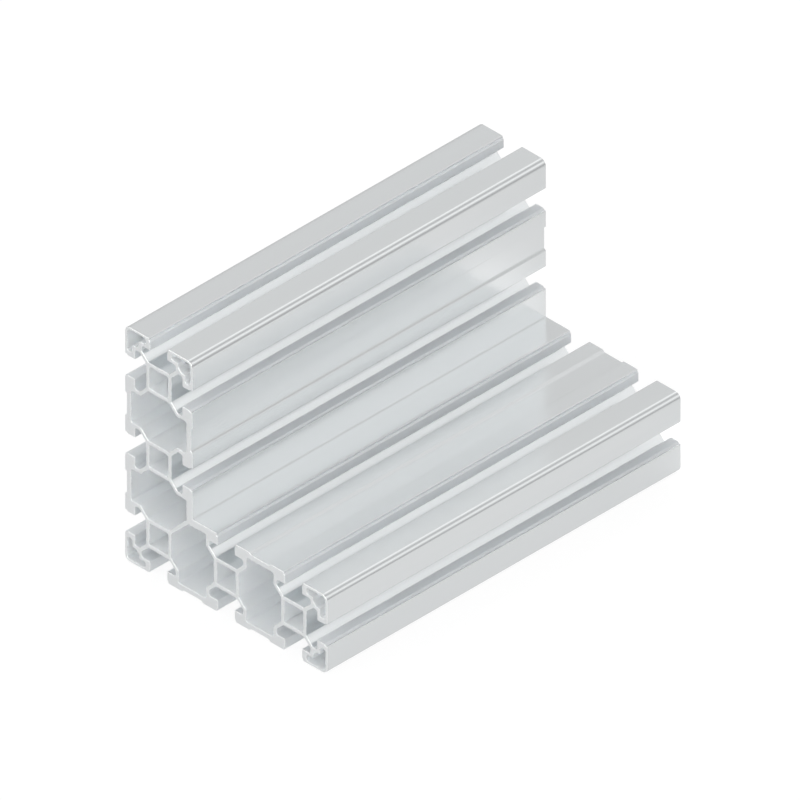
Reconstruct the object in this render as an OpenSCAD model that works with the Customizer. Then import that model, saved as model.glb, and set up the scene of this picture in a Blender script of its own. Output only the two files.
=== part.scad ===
// L-shaped T-slot profile, cut to length from aluminium extrusion.
// The section lies in X and Z and the length runs along Y. The origin is
// under the middle of the piece, on the face that it lies on.

/* [Piece] */
// Length of the cut piece
piece_length = 210; // [30:5:600]

/* [Grid] */
// Side of one square cell of the section, which is also the pitch of the slots
cell = 40; // [37:0.5:48]
// Cells along the flat leg, with the corner cell
flat_cells = 3; // [2:1:5]
// Cells up the upright leg, with the corner cell
upright_cells = 3; // [2:1:5]

/* [Outer faces] */
// Radius of the long outer edges
edge_radius = 3; // [1.5:0.25:4]
// Fillet in the inner angle between the legs
angle_fillet = 0.5; // [0.2:0.1:2]
// Width of the shallow recess between two slots
recess_width = 12.2; // [8:0.2:13]
// Depth of the recess
recess_depth = 1; // [0.5:0.1:1.5]
// How far each side of the recess slopes along the face
recess_slope = 0.7; // [0.3:0.05:1.5]

/* [T-slots] */
// Width of the slot between its lips
slot_mouth = 10; // [8:0.1:11]
// Width of the slot behind its lips
slot_width = 20; // [18:0.1:21]
// Depth of the lips, from the outer face to the wide part of the slot
lip_depth = 6; // [5:0.1:6.5]
// Depth of the straight step at the outer edge of a lip
lip_step = 1; // [0.4:0.1:2]
// Width of the 45 degree bevel from that step to the slot mouth
lip_bevel = 0.65; // [0.3:0.05:1.2]
// Fillet in the corners behind the lips
slot_fillet = 1.2; // [0.3:0.1:2]

/* [Cores and webs] */
// Outer side of the square core in each cell
core_size = 15; // [13:0.25:16]
// Wall of the core
core_wall = 2; // [1.2:0.1:3]
// Fillet in the corners of the core's bore
bore_fillet = 0.5; // [0.2:0.1:1.5]
// Thickness of the diagonal webs, and of the walls between slots and chambers
web = 2; // [1.4:0.1:2.6]

/* [Chambers] */
// Wall between the floor of a recess and the chamber behind it
face_wall = 2.7; // [1.5:0.1:3.5]
// Fillet in the chamber corners at that wall
chamber_fillet = 0.8; // [0.2:0.1:2]

/* [Corner hollows] */
// Wall between a corner hollow and the outer faces
hollow_wall = 1.3; // [1:0.1:2]
// Wall between a corner hollow and the slots beside it
hollow_web = 1.7; // [1.2:0.1:2]
// Solid end of a lip, from the slot mouth to the tip of the hollow
lip_end = 2.8; // [2.5:0.1:4]
// Fillet in the corners at that tip
hollow_fillet = 1.2; // [0.3:0.1:1.4]

/* [Hidden] */
$fn = 64;
margin = 1;
half = cell / 2;
core_half = core_size / 2;
bore = core_size - 2 * core_wall;
mouth_half = slot_mouth / 2;
slot_half = slot_width / 2;
step_half = mouth_half + lip_bevel;
step_floor = half - lip_step;
lip_inner = half - lip_depth;
web_shift = web / sqrt(2);
taper_top = slot_half + web_shift;
slot_round = min(slot_fillet, lip_inner - taper_top);
wall_half = slot_half + web;
face_inner = half - recess_depth - face_wall;
recess_top = recess_width / 2;
recess_floor = recess_top - recess_slope;
hollow_outer = half - hollow_wall;
hollow_under = lip_inner + hollow_web;
hollow_side = slot_half + hollow_web;
hollow_root = hollow_side + web;
hollow_tip = mouth_half + lip_end;
hollow_depth = hollow_outer - hollow_under;
tip_round = min(hollow_fillet, hollow_depth / 2);
hollow_round = max(edge_radius - hollow_wall, bore_fillet);
flat_length = flat_cells * cell;
upright_height = upright_cells * cell;
origin_shift = -flat_length / 2;
aluminium = "#c9cdcf";

function turned(points) = [for (p = [len(points) - 1 : -1 : 0]) points[p]];

function mirrored_x(points, axis) = turned([for (p = points) [2 * axis - p[0], p[1]]]);

function mirrored_y(points) = turned([for (p = points) [p[0], -p[1]]]);

function swapped(points) = turned([for (p = points) [p[1], p[0]]]);

// What a rounding of radius r takes off a square corner at the origin
module nib(r) {
  difference() {
    translate([-margin, -margin])
      square(r + margin);
    translate([r, r])
      circle(r);
  }
}

// Rectangle about the origin with four rounded corners
module rounded_square(size, r) {
  difference() {
    square(size, center = true);
    for (x = [0, 1], y = [0, 1])
      mirror([x, 0])
        mirror([0, y])
          translate([-size / 2, -size / 2])
            nib(r);
  }
}

// One T-slot, which opens towards +Y of its cell
module slot() {
  side = [
    [core_half - web_shift, core_half],
    [slot_half, taper_top],
    [slot_half, lip_inner],
    [mouth_half, lip_inner],
    [mouth_half, step_floor - lip_bevel],
    [step_half, step_floor],
    [step_half, half + margin]
  ];
  difference() {
    polygon(concat(side, mirrored_x(side, 0)));
    for (x = [0, 1])
      mirror([x, 0])
        translate([slot_half, lip_inner])
          rotate(180)
            nib(slot_round);
  }
}

// Edge of a chamber from a core to the outer wall, past a slot or along a bare web
function chamber_edge(past_slot) =
  past_slot
    ? [[core_half, core_half - web_shift], [wall_half, wall_half - web_shift], [wall_half, face_inner]]
    : [[core_half, core_half - web_shift], [face_inner + web_shift, face_inner]];

// Chamber between a cell at the origin and the next one along +X
module chamber(next_to_angle) {
  first = chamber_edge(!next_to_angle);
  other = chamber_edge(true);
  difference() {
    polygon(concat(
      first,
      mirrored_x(other, half),
      mirrored_y(mirrored_x(other, half)),
      mirrored_y(other)
    ));
    translate([wall_half, -face_inner])
      nib(chamber_fillet);
    for (y = [0, 1])
      mirror([0, y])
        translate([cell - wall_half, -face_inner])
          rotate(90)
            nib(chamber_fillet);
    if (!next_to_angle)
      translate([wall_half, face_inner])
        rotate(-90)
          nib(chamber_fillet);
  }
}

// V-shaped hollow behind the outer corner of a cell, towards +X and +Y
module corner_hollow() {
  arm = [
    [hollow_side, hollow_root],
    [hollow_side, hollow_under],
    [hollow_tip, hollow_under],
    [hollow_tip, hollow_outer]
  ];
  difference() {
    polygon(concat(arm, [[hollow_outer, hollow_outer]], swapped(arm)));
    translate([hollow_outer, hollow_outer])
      rotate(180)
        nib(hollow_round);
    for (y = [0, 1])
      mirror([y, -y]) {
        translate([hollow_tip, hollow_under])
          nib(tip_round);
        translate([hollow_tip, hollow_outer])
          rotate(-90)
            nib(tip_round);
      }
  }
}

// Shallow recess across a face at the origin, sunk towards -Y
module recess() {
  side = [
    [recess_floor, -recess_depth],
    [recess_top, 0],
    [recess_top, margin]
  ];
  polygon(concat(side, mirrored_x(side, 0)));
}

// Everything cut from a leg of so many cells along +X, the corner cell's own left out
module leg_cuts(cells) {
  last = cells - 1;
  for (c = [1 : last])
    translate([c * cell, 0]) {
      rounded_square(bore, bore_fillet);
      slot();
      translate([-half, -half])
        mirror([0, 1])
          recess();
      translate([-cell, 0])
        chamber(c == 1);
    }
  for (c = [0 : last])
    translate([c * cell, 0])
      mirror([0, 1])
        slot();
  if (last > 1)
    for (c = [2 : last])
      translate([c * cell - half, half])
        recess();
  translate([last * cell, 0]) {
    rotate(-90)
      slot();
    for (y = [0, 1])
      mirror([0, y]) {
        corner_hollow();
        translate([half, -half])
          rotate(90)
            nib(edge_radius);
      }
  }
}

// Solid L with its corner cell at the origin
module solid_l() {
  translate([-half, -half]) {
    square([flat_length, cell]);
    square([cell, upright_height]);
  }
}

module section() {
  difference() {
    union() {
      solid_l();
      translate([half, half])
        nib(angle_fillet);
    }
    translate([-half, -half])
      nib(edge_radius);
    rounded_square(bore, bore_fillet);
    rotate(180)
      corner_hollow();
    leg_cuts(flat_cells);
    mirror([1, -1])
      leg_cuts(upright_cells);
  }
}

module profile() {
  color(aluminium)
    translate([origin_shift + half, piece_length / 2, half])
      rotate([90, 0, 0])
        linear_extrude(height = piece_length)
          section();
}

profile();
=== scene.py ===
"""Dresses the L-shaped aluminium extrusion: its drawn faces, its sawn ends and its studio."""
import math

import bpy
import numpy as np
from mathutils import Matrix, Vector
from mathutils.geometry import tessellate_polygon


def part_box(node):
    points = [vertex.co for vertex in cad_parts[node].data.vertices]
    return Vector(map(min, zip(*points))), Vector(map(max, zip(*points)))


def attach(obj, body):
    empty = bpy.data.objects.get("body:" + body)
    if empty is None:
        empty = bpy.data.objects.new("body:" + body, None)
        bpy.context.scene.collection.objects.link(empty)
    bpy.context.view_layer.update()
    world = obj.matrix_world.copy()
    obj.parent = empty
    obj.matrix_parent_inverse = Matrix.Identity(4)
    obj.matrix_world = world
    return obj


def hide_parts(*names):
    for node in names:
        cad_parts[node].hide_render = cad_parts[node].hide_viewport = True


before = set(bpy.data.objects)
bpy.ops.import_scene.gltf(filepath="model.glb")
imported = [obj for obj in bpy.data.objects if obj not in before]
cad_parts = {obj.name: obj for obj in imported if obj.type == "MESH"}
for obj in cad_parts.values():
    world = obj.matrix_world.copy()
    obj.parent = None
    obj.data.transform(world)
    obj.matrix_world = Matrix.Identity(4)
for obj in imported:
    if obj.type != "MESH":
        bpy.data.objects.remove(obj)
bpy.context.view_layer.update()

bl_info = {
    "name": "L-shaped slotted extrusion",
    "version": (1, 0, 0),
    "blender": (4, 5, 0),
    "location": "3D view > Sidebar > Extrusion",
    "description": "An L of five slotted aluminium cells, cut to length, on a pale studio floor",
    "category": "Object",
}

STOCK_LOW, STOCK_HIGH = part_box("profile")
FLAT_CELLS = 3
UPRIGHT_CELLS = 3
MM = 0.001
# Stations over the rounding of each cut edge
CUT_POINTS = 5
DRAWN, SAWN, INNER, SLOT, DEBURRED = range(5)

# Angles from the left horizon over the top, in degrees, and the world's level there, where 1 is white
STUDIO_BANDS = (
    (0, 0.62), (22, 0.56), (45, 0.59), (56, 1.07), (67, 1.13), (80, 0.79),
    (103, 0.38), (120, 0.66), (139, 1.13), (158, 0.66), (177, 0.38),
)
# What the wall in front adds at its foot, and the share of it that is left higher up
WALL_FOOT = 2.6
WALL_HEAD = 0.08
# The Y of a direction where that wall starts and is full, and the height where its foot fades and ends
WALL_TURN = (-0.6, -0.9)
WALL_RISE = (0.1, 0.3)
# Level of the floor to the camera, then of its glow in the metal near the piece and far from it, and what
# the front adds; the glow in the metal is painted light, a pool brighter near the piece and in front
FLOOR_SHOWN = 0.86
FLOOR_GLOW_NEAR = 0.68
FLOOR_GLOW_FAR = 0.32
FLOOR_GLOW_FRONT = 0.1
# Metres from the middle where near ends and far begins, and the Y where the front starts and is full
FLOOR_REACH = (0.15, 0.6)
FLOOR_FRONT_REACH = (-0.1, -0.3)
# How far the floor lies below the piece, so that the two don't share a plane
FLOOR_GAP = 0.1 * MM
# The spot's target, from the foot of the toe's far corner, and the slope up from it that the spot hangs on
SPOT_SHIFT = Vector((-10 * MM, 30 * MM, 0.0))
SPOT_SLOPE = Vector((0.0, 0.5, 0.86))
SPOT_DISTANCE = 600 * MM
SPOT_ANGLE = math.radians(6.4)
SPOT_SIZE = 10 * MM
CAMERA_DISTANCE = 2.0
# Light goes down the hollows in many reflections
BOUNCES = 64


def linear(code):
    """Linear RGBA of an sRGB hex colour.

    Values above 0.04045 go through the 2.4 power curve, and the rest is a straight line.
    """
    srgb = np.array([int(code[k:k + 2], 16) for k in (1, 3, 5)]) / 255
    value = np.where(srgb > 0.04045, ((srgb + 0.055) / 1.055) ** 2.4, srgb / 12.92)
    return (*value.tolist(), 1.0)


def length(name, description, millimetres):
    """A length property with its default in millimetres."""
    return bpy.props.FloatProperty(
        name=name, description=description, default=millimetres * MM, min=0.0, unit="LENGTH", precision=5
    )


class ExtrusionSizes(bpy.types.PropertyGroup):
    """Sizes of the section and of its fine edges."""

    cell: length(
        "Cell", "Side of one square cell of the section", (STOCK_HIGH.x - STOCK_LOW.x) / FLAT_CELLS / MM
    )
    edge_radius: length("Edge radius", "Radius of the long outer edges", 3.0)
    angle_fillet: length("Angle fillet", "Fillet in the inner angle between the legs", 0.5)
    recess_width: length("Recess width", "Width of the shallow recess between two slots", 12.2)
    recess_depth: length("Recess depth", "Depth of the recess", 1.0)
    recess_slope: length("Recess slope", "How far each side of the recess slopes along the face", 0.7)
    slot_mouth: length("Slot mouth", "Width of a slot between its lips", 10.0)
    slot_width: length("Slot width", "Width of a slot behind its lips", 20.0)
    lip_depth: length("Lip depth", "From the outer face to the wide part of a slot", 6.0)
    lip_step: length("Lip step", "Depth of the straight step at the outer edge of a lip", 1.0)
    lip_bevel: length("Lip bevel", "Width of the 45 degree bevel from that step to the slot mouth", 0.65)
    lip_round: length("Lip round", "Radius of the edges of that step and bevel", 0.4)
    slot_fillet: length("Slot fillet", "Fillet in the corners behind the lips", 1.2)
    core_size: length("Core", "Outer side of the square core in each cell", 15.0)
    core_wall: length("Core wall", "Wall of the core", 2.0)
    bore_fillet: length("Bore fillet", "Fillet in the corners of the core's bore", 0.5)
    web: length("Web", "Thickness of the diagonal webs and of the slot walls", 2.0)
    face_wall: length("Face wall", "Wall between a recess and the chamber behind it", 2.7)
    chamber_fillet: length("Chamber fillet", "Fillet in the chamber corners at that wall", 0.8)
    hollow_wall: length("Hollow wall", "Wall between a corner hollow and the outer faces", 1.3)
    hollow_web: length("Hollow web", "Wall between a corner hollow and the slots beside it", 1.7)
    lip_end: length("Lip end", "From the slot mouth to the tip of the corner hollow", 2.8)
    hollow_fillet: length("Hollow fillet", "Fillet in the corners at that tip", 1.2)
    edge_break: length("Edge break", "Radius that the die leaves on edges with no rounding", 0.4)
    cut_round: length("Cut round", "Radius of the deburred cut edges, less than the edge break", 0.33)
    arc_points: bpy.props.IntProperty(
        name="Arc points", description="Points along each rounding of the section", default=7, min=3, max=16
    )


class FinishColours(bpy.types.PropertyGroup):
    """Colours of the metal."""

    anodised: bpy.props.FloatVectorProperty(
        name="Anodised", description="Satin natural anodising on the drawn faces",
        default=linear("#F3F5F6"), size=4, min=0.0, max=1.0, subtype="COLOR"
    )
    anodised_streak: bpy.props.FloatVectorProperty(
        name="Anodised streaks", description="Slightly duller streaks along the drawn faces",
        default=linear("#F0F3F4"), size=4, min=0.0, max=1.0, subtype="COLOR"
    )
    sawn: bpy.props.FloatVectorProperty(
        name="Sawn", description="Bare metal of the cut ends",
        default=linear("#EAECED"), size=4, min=0.0, max=1.0, subtype="COLOR"
    )
    sawn_mark: bpy.props.FloatVectorProperty(
        name="Saw marks", description="Hollows of the blade's marks on the cut ends",
        default=linear("#E1E3E4"), size=4, min=0.0, max=1.0, subtype="COLOR"
    )
    deburred: bpy.props.FloatVectorProperty(
        name="Deburred edges", description="Metal that the deburring wheel has rubbed bright",
        default=linear("#F8F9F9"), size=4, min=0.0, max=1.0, subtype="COLOR"
    )
    deburred_nick: bpy.props.FloatVectorProperty(
        name="Nicks", description="Duller places along the deburred edges",
        default=linear("#EFF1F2"), size=4, min=0.0, max=1.0, subtype="COLOR"
    )
    # Near white, brighter than the drawn faces: painted light standing in for light that doesn't reach into
    # the hollows
    inner: bpy.props.FloatVectorProperty(
        name="Inner walls", description="Matt etched metal inside the hollows",
        default=linear("#FEFFFF"), size=4, min=0.0, max=1.0, subtype="COLOR"
    )
    inner_mottle: bpy.props.FloatVectorProperty(
        name="Inner mottle", description="Cooler patches that the etching bath leaves inside the hollows",
        default=linear("#FDFEFF"), size=4, min=0.0, max=1.0, subtype="COLOR"
    )
    # Near white too, a shade duller than the hollows' walls: painted light held lower, so that the slots
    # look darker than the hollows
    slot_wall: bpy.props.FloatVectorProperty(
        name="Slot walls", description="Matt etched metal of the lips' edges and the undercuts behind them",
        default=linear("#FAFBFC"), size=4, min=0.0, max=1.0, subtype="COLOR"
    )
    slot_mottle: bpy.props.FloatVectorProperty(
        name="Slot mottle", description="Duller patches that the etching bath leaves on the slot walls",
        default=linear("#F7F9FA"), size=4, min=0.0, max=1.0, subtype="COLOR"
    )


class StudioSettings(bpy.types.PropertyGroup):
    """The view and the light."""

    azimuth: bpy.props.FloatProperty(
        name="Azimuth", description="Turn of the camera round the piece, from looking along its length",
        default=math.radians(45), subtype="ANGLE"
    )
    elevation: bpy.props.FloatProperty(
        name="Elevation", description="Angle of the camera above the floor",
        default=math.radians(35), subtype="ANGLE"
    )
    aim: bpy.props.FloatVectorProperty(
        name="Aim", description="Point in the middle of the picture",
        default=(0.02 * MM, -1.76 * MM, 60 * MM), size=3, subtype="TRANSLATION", unit="LENGTH"
    )
    picture_width: length("Picture width", "What the parallel view takes in from side to side", 335.6)
    floor_side: length("Floor side", "Side of the square floor", 1300.0)
    pool_power: bpy.props.FloatProperty(
        name="Pool light", description="Power of the spot that lights the floor behind the far end",
        default=17.0, min=0.0, unit="POWER"
    )


def roundings(corners, radii, steps):
    """Points and normals of a closed section line whose corners are all rounded.

    The line runs with the metal on its left, so each edge's normal is its direction turned a right angle
    to the right. At a corner the normal turns evenly from the edge before to the edge after. The mitre is
    the sum of those two normals over one plus their product. A point of the rounding is the corner plus the
    radius times the difference of the normal and the mitre, with the radius negative where the line turns
    right.
    """
    ahead = np.roll(corners, -1, axis=0) - corners
    ahead = ahead / np.linalg.norm(ahead, axis=1, keepdims=True)
    after = np.stack((ahead[:, 1], -ahead[:, 0]), axis=1)
    before = np.roll(after, 1, axis=0)
    product = np.sum(before * after, axis=1)
    turn = np.arctan2(before[:, 0] * after[:, 1] - before[:, 1] * after[:, 0], product)
    mitre = (before + after) / (1 + product)[:, None]
    start = np.arctan2(before[:, 1], before[:, 0])
    angle = start[:, None] + turn[:, None] * np.linspace(0, 1, steps)
    normals = np.stack((np.cos(angle), np.sin(angle)), axis=2)
    signed = (np.sign(turn) * radii)[:, None, None]
    points = corners[:, None] + signed * (normals - mitre[:, None])
    return points.reshape(-1, 2), normals.reshape(-1, 2)


def clockwise(corners, radii):
    """The loop of a hole, turned so that the metal is on its left: its signed area is negative."""
    ahead = np.roll(corners, -1, axis=0)
    area = np.sum(corners[:, 0] * ahead[:, 1] - corners[:, 1] * ahead[:, 0])
    return (corners[::-1], radii[::-1]) if area > 0 else (corners, radii)


def outline(sizes):
    """Corners and radii of the outer line, counter-clockwise, and which edges are a slot's side walls.

    On a face a point is the cell's centre plus u along the face plus w out of it. The slot comes first, and
    after it a recess where the next face goes straight on, or a rounded corner where it turns.
    """
    half = sizes.cell / 2
    mouth = sizes.slot_mouth / 2
    wide = sizes.slot_width / 2
    core = sizes.core_size / 2
    under = half - sizes.lip_depth
    shift = sizes.web / math.sqrt(2)
    bend = min(sizes.slot_fillet, under - wide - shift)
    fine = sizes.edge_break
    step = mouth + sizes.lip_bevel
    deep = half - sizes.lip_step
    side = np.array((
        (step, half, sizes.lip_round),
        (step, deep, sizes.lip_round),
        (mouth, deep - sizes.lip_bevel, sizes.lip_round),
        (mouth, under, fine),
        (wide, under, bend),
        (wide, wide + shift, fine),
        (core - shift, core, fine),
    ))
    slot = np.vstack((side * (-1, 1, 1), side[::-1]))
    slot_walls = (1, 1, 1, 1, 1, 0, 0, 0, 1, 1, 1, 1, 1, 0)
    top = sizes.recess_width / 2
    low = top - sizes.recess_slope
    recess = np.array((
        (half - top, half, fine),
        (half - low, half - sizes.recess_depth, fine),
        (half + low, half - sizes.recess_depth, fine),
        (half + top, half, fine),
    ))
    junctions = {
        0: recess,
        1: np.array(((half, half, sizes.edge_radius),)),
        -1: np.array(((half, half, sizes.angle_fillet),)),
    }
    faces = [((k, 0), (1, 0)) for k in range(FLAT_CELLS)]
    faces += [((FLAT_CELLS - 1, 0), (0, 1))]
    faces += [((k, 0), (-1, 0)) for k in range(FLAT_CELLS - 1, 0, -1)]
    faces += [((0, k), (0, 1)) for k in range(1, UPRIGHT_CELLS)]
    faces += [((0, UPRIGHT_CELLS - 1), (-1, 0))]
    faces += [((0, k), (0, -1)) for k in range(UPRIGHT_CELLS - 1, -1, -1)]
    corners = []
    radii = []
    inside = []
    for (place, along), (_, following) in zip(faces, faces[1:] + faces[:1]):
        turn = along[0] * following[1] - along[1] * following[0]
        local = np.vstack((slot, junctions[turn]))
        axes = np.array((along, (along[1], -along[0])))
        corners.append(np.array(place) * sizes.cell + local[:, :2] @ axes)
        radii.append(local[:, 2])
        inside += [*slot_walls, *(0 for _ in junctions[turn])]
    return np.vstack(corners), np.concatenate(radii), np.array(inside)


def bores(sizes):
    """Square bores with rounded corners, one in the core of each cell."""
    side = sizes.core_size / 2 - sizes.core_wall
    square = np.array(((-side, -side), (-side, side), (side, side), (side, -side)))
    places = [(k, 0) for k in range(FLAT_CELLS)] + [(0, k) for k in range(1, UPRIGHT_CELLS)]
    return [(np.array(place) * sizes.cell + square, np.full(4, sizes.bore_fillet)) for place in places]


def chambers(sizes):
    """Chambers between neighbouring cores, each drawn along the flat leg and swapped over for the upright.

    A chamber's edge runs from the core along the web, then past the slot's wall to the outer wall, and is
    mirrored about the boundary of the cells and about their middle line. Beside the inner angle the web has
    no slot to pass.
    """
    core = sizes.core_size / 2
    shift = sizes.web / math.sqrt(2)
    wall = sizes.slot_width / 2 + sizes.web
    inner = sizes.cell / 2 - sizes.recess_depth - sizes.face_wall
    fine = sizes.edge_break
    past_slot = np.array((
        (core, core - shift, fine),
        (wall, wall - shift, fine),
        (wall, inner, sizes.chamber_fillet),
    ))
    bare_web = np.array(((core, core - shift, fine), (inner + shift, inner, fine)))
    far = past_slot[::-1] * (-1, 1, 1) + (sizes.cell, 0, 0)
    below = np.vstack((far[::-1], past_slot[::-1])) * (1, -1, 1)
    made = []
    for first in range(FLAT_CELLS - 1):
        loop = np.vstack((past_slot if first else bare_web, far, below))
        made.append((loop[:, :2] + (first * sizes.cell, 0), loop[:, 2]))
    for first in range(UPRIGHT_CELLS - 1):
        loop = np.vstack((past_slot if first else bare_web, far, below))
        made.append((loop[:, 1::-1] + (0, first * sizes.cell), loop[:, 2]))
    return made


def corner_hollows(sizes):
    """V-shaped hollows behind the outer corners: one arm, the rounded point, and the arm swapped over."""
    half = sizes.cell / 2
    outer = half - sizes.hollow_wall
    under = half - sizes.lip_depth + sizes.hollow_web
    side = sizes.slot_width / 2 + sizes.hollow_web
    tip = sizes.slot_mouth / 2 + sizes.lip_end
    bend = min(sizes.hollow_fillet, (outer - under) / 2)
    fine = sizes.edge_break
    arm = np.array((
        (side, side + sizes.web, fine),
        (side, under, fine),
        (tip, under, bend),
        (tip, outer, bend),
    ))
    point = np.array(((outer, outer, max(sizes.edge_radius - sizes.hollow_wall, sizes.bore_fillet)),))
    loop = np.vstack((arm, point, arm[::-1, (1, 0, 2)]))
    toe = (FLAT_CELLS - 1, 0)
    head = (0, UPRIGHT_CELLS - 1)
    places = [((0, 0), (-1, -1)), (toe, (1, -1)), (toe, (1, 1)), (head, (-1, 1)), (head, (1, 1))]
    return [(np.array(place) * sizes.cell + loop[:, :2] * turned, loop[:, 2]) for place, turned in places]


def deburred_path(sizes):
    """Stations along the length: place, inset of the section, and the share of the normal along and across.

    Over a cut edge an angle runs from 0 on the end face to 90 degrees on the walls. The station lies the cut
    radius times one minus its cosine behind the end, and the section is inset by that radius times one minus
    its sine. The inset has to be less than any outer corner's radius, or the corner folds over.
    """
    angle = np.radians(np.linspace(0, 90, CUT_POINTS))
    reach = sizes.cut_round * (1 - np.cos(angle))
    inset = sizes.cut_round * (1 - np.sin(angle))
    place = np.concatenate((STOCK_LOW.y + reach, STOCK_HIGH.y - reach[::-1]))
    inset = np.concatenate((inset, inset[::-1]))
    along = np.concatenate((-np.cos(angle), np.cos(angle[::-1])))
    across = np.concatenate((np.sin(angle), np.sin(angle[::-1])))
    return place, inset, along, across


def swept_section(sizes):
    """Vertices, normals, quads, triangles and the quads' finishes, of the section carried along the length.

    Each vertex is a point of the section moved back along its normal by the station's inset, at the
    station's place. Its normal is the section's normal and the length's direction in the station's shares.
    """
    *outer, inside = outline(sizes)
    holes = [clockwise(*hole) for hole in bores(sizes) + chambers(sizes) + corner_hollows(sizes)]
    rings = [roundings(*loop, sizes.arc_points) for loop in [outer, *holes]]
    points = np.vstack([ring[0] for ring in rings])
    normals = np.vstack([ring[1] for ring in rings])
    counts = [len(ring[0]) for ring in rings]
    starts = np.cumsum([0] + counts[:-1])
    spans = list(zip(starts, counts))
    following = np.concatenate([start + np.roll(np.arange(count), -1) for start, count in spans])
    points = points + (STOCK_LOW.x + sizes.cell / 2, STOCK_LOW.z + sizes.cell / 2)

    place, inset, along, across = deburred_path(sizes)
    moved = points[None] - inset[:, None, None] * normals[None]
    shape = (len(place), len(points))
    vertices = np.stack((moved[..., 0], np.broadcast_to(place[:, None], shape), moved[..., 1]), axis=2)
    facing = np.stack((
        across[:, None] * normals[:, 0],
        np.broadcast_to(along[:, None], shape),
        across[:, None] * normals[:, 1],
    ), axis=2)

    index = np.arange(vertices[..., 0].size).reshape(shape)
    near = index[:-1]
    far = index[1:]
    quads = np.stack((near, far, far[:, following], near[:, following]), axis=2)
    rounding = np.repeat(inside & np.roll(inside, 1), sizes.arc_points)
    rounding[sizes.arc_points - 1::sizes.arc_points] = inside
    # Hollows and slot walls take the near-white matt metals, which paint light into them
    walls = np.full(len(points), INNER)
    walls[:counts[0]] = np.where(rounding, SLOT, DRAWN)
    # The long strip between the two ends' roundings has the walls' finishes.
    finish = np.full(quads.shape[:2], DEBURRED)
    finish[CUT_POINTS - 1] = walls

    flat = moved[0] / MM
    lines = [[Vector((x, z, 0.0)) for x, z in flat[start:start + count]] for start, count in spans]
    cap = np.array(tessellate_polygon(lines))
    a, b, c = (flat[cap[:, k]] for k in range(3))
    turned = (b[:, 0] - a[:, 0]) * (c[:, 1] - a[:, 1]) - (b[:, 1] - a[:, 1]) * (c[:, 0] - a[:, 0])
    cap = np.where((turned < 0)[:, None], cap[:, ::-1], cap)
    triangles = np.vstack((cap, cap[:, ::-1] + index[-1, 0]))
    flat_quads = quads.reshape(-1, 4)
    return vertices.reshape(-1, 3), facing.reshape(-1, 3), flat_quads, triangles, finish.reshape(-1)


def add(tree, kind, inputs=None, **settings):
    """Adds a node with its own settings, and fills its inputs with values or with other nodes' outputs.

    Inputs that share a name, as on Math and Mix, are given by number.
    """
    made = tree.nodes.new(kind)
    for name, value in settings.items():
        setattr(made, name, value)
    for socket, value in (inputs or {}).items():
        if isinstance(value, bpy.types.NodeSocket):
            tree.links.new(value, made.inputs[socket])
        else:
            made.inputs[socket].default_value = value
    return made


def empty_material(name):
    """A material with an empty node tree."""
    made = bpy.data.materials.new(name)
    made.use_nodes = True
    made.node_tree.nodes.clear()
    return made


def anodised_aluminium(colours):
    """Natural anodised aluminium on extruded faces.

    The die leaves fine lines along the length, and etching and anodising turn them to an even satin, so the
    faces shine softly, with long faint streaks that differ a little in gloss and in grey.
    """
    made = empty_material("natural_anodised_extrusion")
    tree = made.node_tree
    place = add(tree, "ShaderNodeTexCoord").outputs["Object"]
    # Die lines are some 0.05 mm apart and drawn 0.6 mm apart, so that they show. They run on for 300 mm.
    line = 1 / (0.6 * MM)
    stretched = add(tree, "ShaderNodeMapping", {"Vector": place, "Scale": (line, 1 / (300 * MM), line)})
    lines = add(tree, "ShaderNodeTexNoise", {
        "Vector": stretched.outputs["Vector"],
        "Scale": 1.0,
        "Detail": 2.0,
    })
    # Streaks 7 mm wide and half a metre long come from the flow of the metal through the die.
    streak = 1 / (7 * MM)
    wide = add(tree, "ShaderNodeMapping", {"Vector": place, "Scale": (streak, 1 / (500 * MM), streak)})
    streaks = add(tree, "ShaderNodeTexNoise", {
        "Vector": wide.outputs["Vector"],
        "Scale": 1.0,
        "Detail": 1.0,
    })
    colour = add(tree, "ShaderNodeMix", {
        0: streaks.outputs["Fac"],
        6: colours.anodised,
        7: colours.anodised_streak,
    }, data_type="RGBA")
    gloss = add(tree, "ShaderNodeMapRange", {
        "Value": streaks.outputs["Fac"],
        "From Min": 0.3,
        "From Max": 0.7,
        "To Min": 0.16,
        "To Max": 0.2,
    })
    relief = add(tree, "ShaderNodeBump", {
        "Height": lines.outputs["Fac"],
        "Strength": 0.03,
        "Distance": 0.05 * MM,
    })
    # The clear oxide on the metal scatters about a quarter of the light.
    shader = add(tree, "ShaderNodeBsdfPrincipled", {
        "Base Color": colour.outputs[2],
        "Metallic": 0.75,
        "Roughness": gloss.outputs["Result"],
        "Normal": relief.outputs["Normal"],
    })
    add(tree, "ShaderNodeOutputMaterial", {"Surface": shader.outputs["BSDF"]})
    return made


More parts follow.
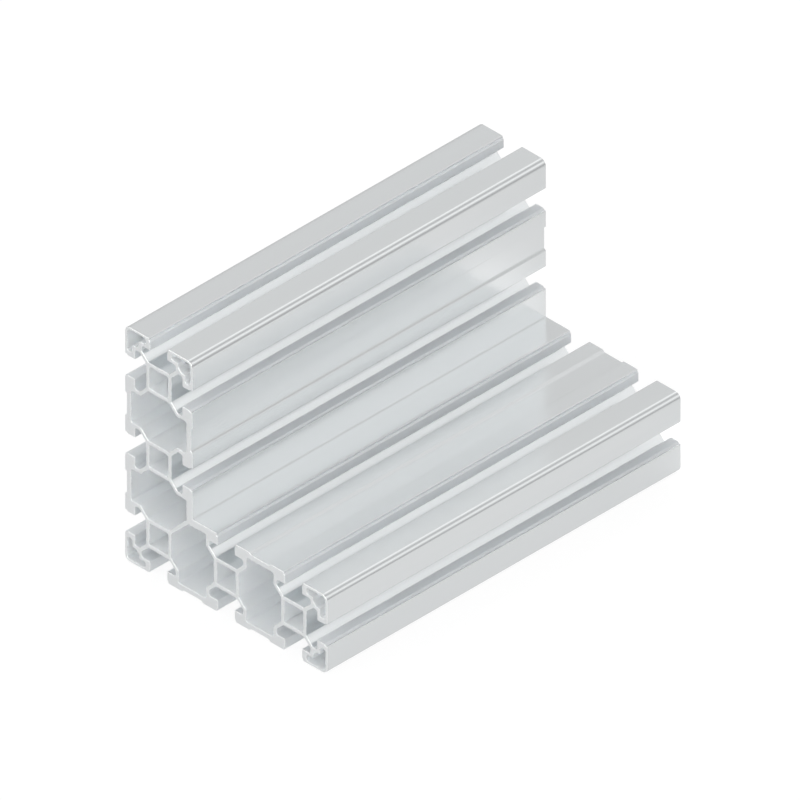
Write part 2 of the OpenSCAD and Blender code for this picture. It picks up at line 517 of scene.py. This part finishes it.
def sawn_aluminium(colours):
    """Bare aluminium as a circular saw leaves it.

    The blade's teeth leave shallow arcs about its axle, which scatter the light a little more than the drawn
    faces and make the ends look finely matt.
    """
    made = empty_material("saw_cut_aluminium")
    tree = made.node_tree
    place = add(tree, "ShaderNodeTexCoord").outputs["Object"]
    # A 350 mm blade comes down from above, so the arcs run about an axle 230 mm up. The wave repeats each
    # 0.314 of its own unit; tooth marks are some 0.1 mm apart and drawn 0.9 mm apart, so that they show.
    axle = add(tree, "ShaderNodeMapping", {"Vector": place, "Location": (-40 * MM, 0.0, -230 * MM)})
    marks = add(tree, "ShaderNodeTexWave", {
        "Vector": axle.outputs["Vector"],
        "Scale": 0.314 / (0.9 * MM),
        "Distortion": 1.5,
        "Detail": 2.0,
        "Detail Scale": 0.4,
    }, wave_type="RINGS", rings_direction="Y")
    colour = add(tree, "ShaderNodeMix", {
        0: marks.outputs["Fac"],
        6: colours.sawn_mark,
        7: colours.sawn,
    }, data_type="RGBA")
    gloss = add(tree, "ShaderNodeMapRange", {
        "Value": marks.outputs["Fac"],
        "To Min": 0.42,
        "To Max": 0.36,
    })
    relief = add(tree, "ShaderNodeBump", {
        "Height": marks.outputs["Fac"],
        "Strength": 0.05,
        "Distance": 0.05 * MM,
    })
    shader = add(tree, "ShaderNodeBsdfPrincipled", {
        "Base Color": colour.outputs[2],
        "Metallic": 1.0,
        "Roughness": gloss.outputs["Result"],
        "Normal": relief.outputs["Normal"],
    })
    add(tree, "ShaderNodeOutputMaterial", {"Surface": shader.outputs["BSDF"]})
    return made


def deburred_aluminium(colours):
    """Cut edges that a fibre wheel has rounded off.

    The wheel rubs the bare metal bright, so each cut edge draws a thin line of light, which small nicks
    break up.
    """
    made = empty_material("deburred_aluminium")
    tree = made.node_tree
    place = add(tree, "ShaderNodeTexCoord").outputs["Object"]
    # The nicks are about 2 mm apart.
    nicks = add(tree, "ShaderNodeTexNoise", {"Vector": place, "Scale": 1 / (2 * MM), "Detail": 2.0})
    colour = add(tree, "ShaderNodeMix", {
        0: nicks.outputs["Fac"],
        6: colours.deburred,
        7: colours.deburred_nick,
    }, data_type="RGBA")
    gloss = add(tree, "ShaderNodeMapRange", {
        "Value": nicks.outputs["Fac"],
        "To Min": 0.22,
        "To Max": 0.32,
    })
    shader = add(tree, "ShaderNodeBsdfPrincipled", {
        "Base Color": colour.outputs[2],
        "Metallic": 1.0,
        "Roughness": gloss.outputs["Result"],
    })
    add(tree, "ShaderNodeOutputMaterial", {"Surface": shader.outputs["BSDF"]})
    return made


def etched_aluminium(name, colour, dull):
    """Walls inside the section, which the die's tongues leave rough and the etching bath leaves matt.

    They pass the light on evenly, and the colours they are given are near white, brighter than the metal
    outside: painted light, so that the hollows and the undercut slots look pale grey inside and not black.
    """
    made = empty_material(name)
    tree = made.node_tree
    place = add(tree, "ShaderNodeTexCoord").outputs["Object"]
    # The bath leaves a mottle some 4 mm across, drawn out to 60 mm along the length.
    patch = 1 / (4 * MM)
    stretched = add(tree, "ShaderNodeMapping", {"Vector": place, "Scale": (patch, 1 / (60 * MM), patch)})
    mottle = add(tree, "ShaderNodeTexNoise", {
        "Vector": stretched.outputs["Vector"],
        "Scale": 1.0,
        "Detail": 2.0,
    })
    gloss = add(tree, "ShaderNodeMapRange", {
        "Value": mottle.outputs["Fac"],
        "To Min": 0.9,
        "To Max": 1.0,
    })
    patches = add(tree, "ShaderNodeMix", {
        0: mottle.outputs["Fac"],
        6: colour,
        7: dull,
    }, data_type="RGBA")
    shader = add(tree, "ShaderNodeBsdfPrincipled", {
        "Base Color": patches.outputs[2],
        "Metallic": 1.0,
        "Roughness": gloss.outputs["Result"],
    })
    add(tree, "ShaderNodeOutputMaterial", {"Surface": shader.outputs["BSDF"]})
    return made


def studio_floor():
    """White paper: matt, white to the camera, and it still takes the soft shadow. In the metal it shows
    pale, a glow brighter near the piece and in front: a painted pool of light.
    """
    made = empty_material("white_paper_floor")
    tree = made.node_tree
    rays = add(tree, "ShaderNodeLightPath")
    seen = add(tree, "ShaderNodeMath", {
        0: rays.outputs["Is Camera Ray"],
        1: rays.outputs["Is Glossy Ray"],
    }, operation="MAXIMUM")
    shown = add(tree, "ShaderNodeMath", {
        0: seen.outputs["Value"],
        1: rays.outputs["Is Transmission Ray"],
    }, operation="MAXIMUM")
    paper = add(tree, "ShaderNodeBsdfDiffuse", {"Color": linear("#808080")})
    place = add(tree, "ShaderNodeTexCoord").outputs["Object"]
    away = add(tree, "ShaderNodeVectorMath", {"Vector": place}, operation="LENGTH")
    # The floor's glow in the metal, brighter near the piece and fading away from it: a painted pool of light
    pale = add(tree, "ShaderNodeMapRange", {
        "Value": away.outputs["Value"],
        "From Min": FLOOR_REACH[0],
        "From Max": FLOOR_REACH[1],
        "To Min": FLOOR_GLOW_NEAR,
        "To Max": FLOOR_GLOW_FAR,
    })
    parts = add(tree, "ShaderNodeSeparateXYZ", {"Vector": place})
    front = add(tree, "ShaderNodeMapRange", {
        "Value": parts.outputs["Y"],
        "From Min": FLOOR_FRONT_REACH[0],
        "From Max": FLOOR_FRONT_REACH[1],
        "To Min": 0.0,
        "To Max": FLOOR_GLOW_FRONT,
    })
    # Adds the brighter glow in front, painted light as well
    mirrored = add(tree, "ShaderNodeMath", {
        0: pale.outputs["Result"],
        1: front.outputs["Result"],
    }, operation="ADD")
    level = add(tree, "ShaderNodeMix", {
        0: rays.outputs["Is Camera Ray"],
        2: mirrored.outputs["Value"],
        3: FLOOR_SHOWN,
    }, data_type="FLOAT")
    white = add(tree, "ShaderNodeEmission", {"Color": linear("#FFFFFF"), "Strength": level.outputs[0]})
    lit = add(tree, "ShaderNodeAddShader", {0: paper.outputs["BSDF"], 1: white.outputs["Emission"]})
    both = add(tree, "ShaderNodeMixShader", {
        0: shown.outputs["Value"],
        1: paper.outputs["BSDF"],
        2: lit.outputs["Shader"],
    })
    add(tree, "ShaderNodeOutputMaterial", {"Surface": both.outputs["Shader"]})
    return made


def studio_world():
    """Pale studio with two long softboxes over the piece, as bands about its length; white to the camera.

    A direction's place among the bands is its angle from the left horizon, over the top, to the right one.
    Below the horizon the bands are mirrored. The wall in front of the sawn end adds its lit foot.
    """
    made = bpy.data.worlds.new("pale_studio")
    made.use_nodes = True
    tree = made.node_tree
    tree.nodes.clear()
    direction = add(tree, "ShaderNodeTexCoord").outputs["Generated"]
    parts = add(tree, "ShaderNodeSeparateXYZ", {"Vector": direction})
    left = add(tree, "ShaderNodeMath", {0: parts.outputs["X"], 1: -1.0}, operation="MULTIPLY")
    up = add(tree, "ShaderNodeMath", {0: parts.outputs["Z"]}, operation="ABSOLUTE")
    angle = add(tree, "ShaderNodeMath", {
        0: up.outputs["Value"],
        1: left.outputs["Value"],
    }, operation="ARCTAN2")
    share = add(tree, "ShaderNodeMath", {
        0: angle.outputs["Value"],
        1: 1 / math.pi,
    }, operation="MULTIPLY")
    bands = add(tree, "ShaderNodeValToRGB", {"Fac": share.outputs["Value"]})
    ramp = bands.color_ramp
    ramp.elements.remove(ramp.elements[1])
    for degrees, level in STUDIO_BANDS:
        stop = ramp.elements[0] if degrees == 0 else ramp.elements.new(degrees / 180)
        stop.position = degrees / 180
        stop.color = (level, level, level, 1.0)
    front = add(tree, "ShaderNodeMapRange", {
        "Value": parts.outputs["Y"],
        "From Min": WALL_TURN[0],
        "From Max": WALL_TURN[1],
        "To Min": 0.0,
        "To Max": WALL_FOOT,
    })
    foot = add(tree, "ShaderNodeMapRange", {
        "Value": up.outputs["Value"],
        "From Min": WALL_RISE[0],
        "From Max": WALL_RISE[1],
        "To Min": 1.0,
        "To Max": WALL_HEAD,
    })
    wall = add(tree, "ShaderNodeMath", {
        0: front.outputs["Result"],
        1: foot.outputs["Result"],
    }, operation="MULTIPLY")
    lit = add(tree, "ShaderNodeVectorMath", {
        0: bands.outputs["Color"],
        1: wall.outputs["Value"],
    }, operation="ADD")
    rays = add(tree, "ShaderNodeLightPath")
    seen = add(tree, "ShaderNodeMix", {
        0: rays.outputs["Is Camera Ray"],
        6: lit.outputs["Vector"],
        7: linear("#FFFFFF"),
    }, data_type="RGBA")
    light = add(tree, "ShaderNodeBackground", {"Color": seen.outputs[2], "Strength": 1.0})
    add(tree, "ShaderNodeOutputWorld", {"Surface": light.outputs["Background"]})
    return made


class EXTRUSION_OT_stock(bpy.types.Operator):
    """Builds the cut piece of stock: the section swept along its length, with deburred sawn ends"""

    bl_idname = "extrusion.stock"
    bl_label = "Build the stock"

    def execute(self, context):
        sizes = context.scene.extrusion_sizes
        colours = context.scene.extrusion_colours
        vertices, facing, quads, triangles, finish = swept_section(sizes)
        mesh = bpy.data.meshes.new("extruded_profile")
        mesh.vertices.add(len(vertices))
        mesh.vertices.foreach_set("co", vertices.ravel())
        mesh.loops.add(quads.size + triangles.size)
        mesh.loops.foreach_set("vertex_index", np.concatenate((quads.ravel(), triangles.ravel())))
        starts = np.concatenate((
            np.arange(len(quads)) * 4,
            quads.size + np.arange(len(triangles)) * 3,
        ))
        mesh.polygons.add(len(starts))
        mesh.polygons.foreach_set("loop_start", starts)
        finish = np.concatenate((finish, np.full(len(triangles), SAWN)))
        mesh.polygons.foreach_set("material_index", finish)
        mesh.polygons.foreach_set("use_smooth", np.ones(len(starts), dtype=bool))
        mesh.update(calc_edges=True)
        if mesh.validate():
            raise RuntimeError("the swept section has faces that Blender can't keep")
        mesh.normals_split_custom_set_from_vertices(facing.tolist())
        # In the order of DRAWN, SAWN, INNER, SLOT and DEBURRED
        mesh.materials.append(anodised_aluminium(colours))
        mesh.materials.append(sawn_aluminium(colours))
        # Both matt etched metals are near white: painted light inside the section, the slots' a shade lower
        # for their shade
        mesh.materials.append(etched_aluminium("matt_etched_hollows_painted_light", colours.inner, colours.inner_mottle))
        mesh.materials.append(etched_aluminium("matt_etched_slots_painted_light", colours.slot_wall, colours.slot_mottle))
        mesh.materials.append(deburred_aluminium(colours))
        piece = bpy.data.objects.new("extruded_profile", mesh)
        context.scene.collection.objects.link(piece)
        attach(piece, "root")
        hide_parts("profile")
        return {"FINISHED"}


class EXTRUSION_OT_studio(bpy.types.Operator):
    """Lays the pale floor, lights the studio and sets the camera at the photograph's angle"""

    bl_idname = "extrusion.studio"
    bl_label = "Set up the studio"

    def execute(self, context):
        scene = context.scene
        studio = scene.extrusion_studio
        side = studio.floor_side / 2
        low = STOCK_LOW.z - FLOOR_GAP
        mesh = bpy.data.meshes.new("paper_floor")
        corners = [(-side, -side, low), (side, -side, low), (side, side, low), (-side, side, low)]
        mesh.from_pydata(corners, [], [(0, 1, 2, 3)])
        mesh.materials.append(studio_floor())
        floor = bpy.data.objects.new("paper_floor", mesh)
        scene.collection.objects.link(floor)
        scene.world = studio_world()
        scene.view_settings.view_transform = "Standard"
        scene.cycles.max_bounces = BOUNCES
        scene.cycles.glossy_bounces = BOUNCES

        spot = bpy.data.lights.new("floor_pool", "SPOT")
        spot.spot_size = SPOT_ANGLE
        spot.spot_blend = 1.0
        spot.shadow_soft_size = SPOT_SIZE
        spot.energy = studio.pool_power
        pool = bpy.data.objects.new("floor_pool", spot)
        target = Vector((STOCK_HIGH.x, STOCK_HIGH.y, low)) + SPOT_SHIFT
        towards = SPOT_SLOPE.normalized()
        pool.location = target + towards * SPOT_DISTANCE
        pool.rotation_mode = "QUATERNION"
        pool.rotation_quaternion = (-towards).to_track_quat("-Z", "Y")
        scene.collection.objects.link(pool)

        lens = bpy.data.cameras.new("catalogue_view")
        lens.type = "ORTHO"
        lens.ortho_scale = studio.picture_width
        camera = bpy.data.objects.new("catalogue_view", lens)
        back = Vector((
            math.sin(studio.azimuth) * math.cos(studio.elevation),
            -math.cos(studio.azimuth) * math.cos(studio.elevation),
            math.sin(studio.elevation),
        ))
        camera.location = Vector(studio.aim) + back * CAMERA_DISTANCE
        camera.rotation_mode = "QUATERNION"
        camera.rotation_quaternion = (-back).to_track_quat("-Z", "Y")
        scene.collection.objects.link(camera)
        scene.camera = camera
        return {"FINISHED"}


class EXTRUSION_PT_panel(bpy.types.Panel):
    """Lists the steps and the sizes"""

    bl_idname = "EXTRUSION_PT_panel"
    bl_label = "Slotted extrusion"
    bl_space_type = "VIEW_3D"
    bl_region_type = "UI"
    bl_category = "Extrusion"

    def draw(self, context):
        layout = self.layout
        for group in ("extrusion_sizes", "extrusion_colours", "extrusion_studio"):
            settings = getattr(context.scene, group)
            column = layout.column(align=True)
            for name in settings.__annotations__:
                column.prop(settings, name)
        layout.operator(EXTRUSION_OT_stock.bl_idname)
        layout.operator(EXTRUSION_OT_studio.bl_idname)


CLASSES = (
    ExtrusionSizes,
    FinishColours,
    StudioSettings,
    EXTRUSION_OT_stock,
    EXTRUSION_OT_studio,
    EXTRUSION_PT_panel,
)


def register():
    """Registers the classes and gives the scene their settings."""
    for kind in CLASSES:
        bpy.utils.register_class(kind)
    bpy.types.Scene.extrusion_sizes = bpy.props.PointerProperty(type=ExtrusionSizes)
    bpy.types.Scene.extrusion_colours = bpy.props.PointerProperty(type=FinishColours)
    bpy.types.Scene.extrusion_studio = bpy.props.PointerProperty(type=StudioSettings)


def unregister():
    """Takes the settings and the classes away again."""
    del bpy.types.Scene.extrusion_studio
    del bpy.types.Scene.extrusion_colours
    del bpy.types.Scene.extrusion_sizes
    for kind in reversed(CLASSES):
        bpy.utils.unregister_class(kind)


def main():
    register()
    bpy.ops.extrusion.stock()
    bpy.ops.extrusion.studio()


if __name__ == "__main__":
    main()
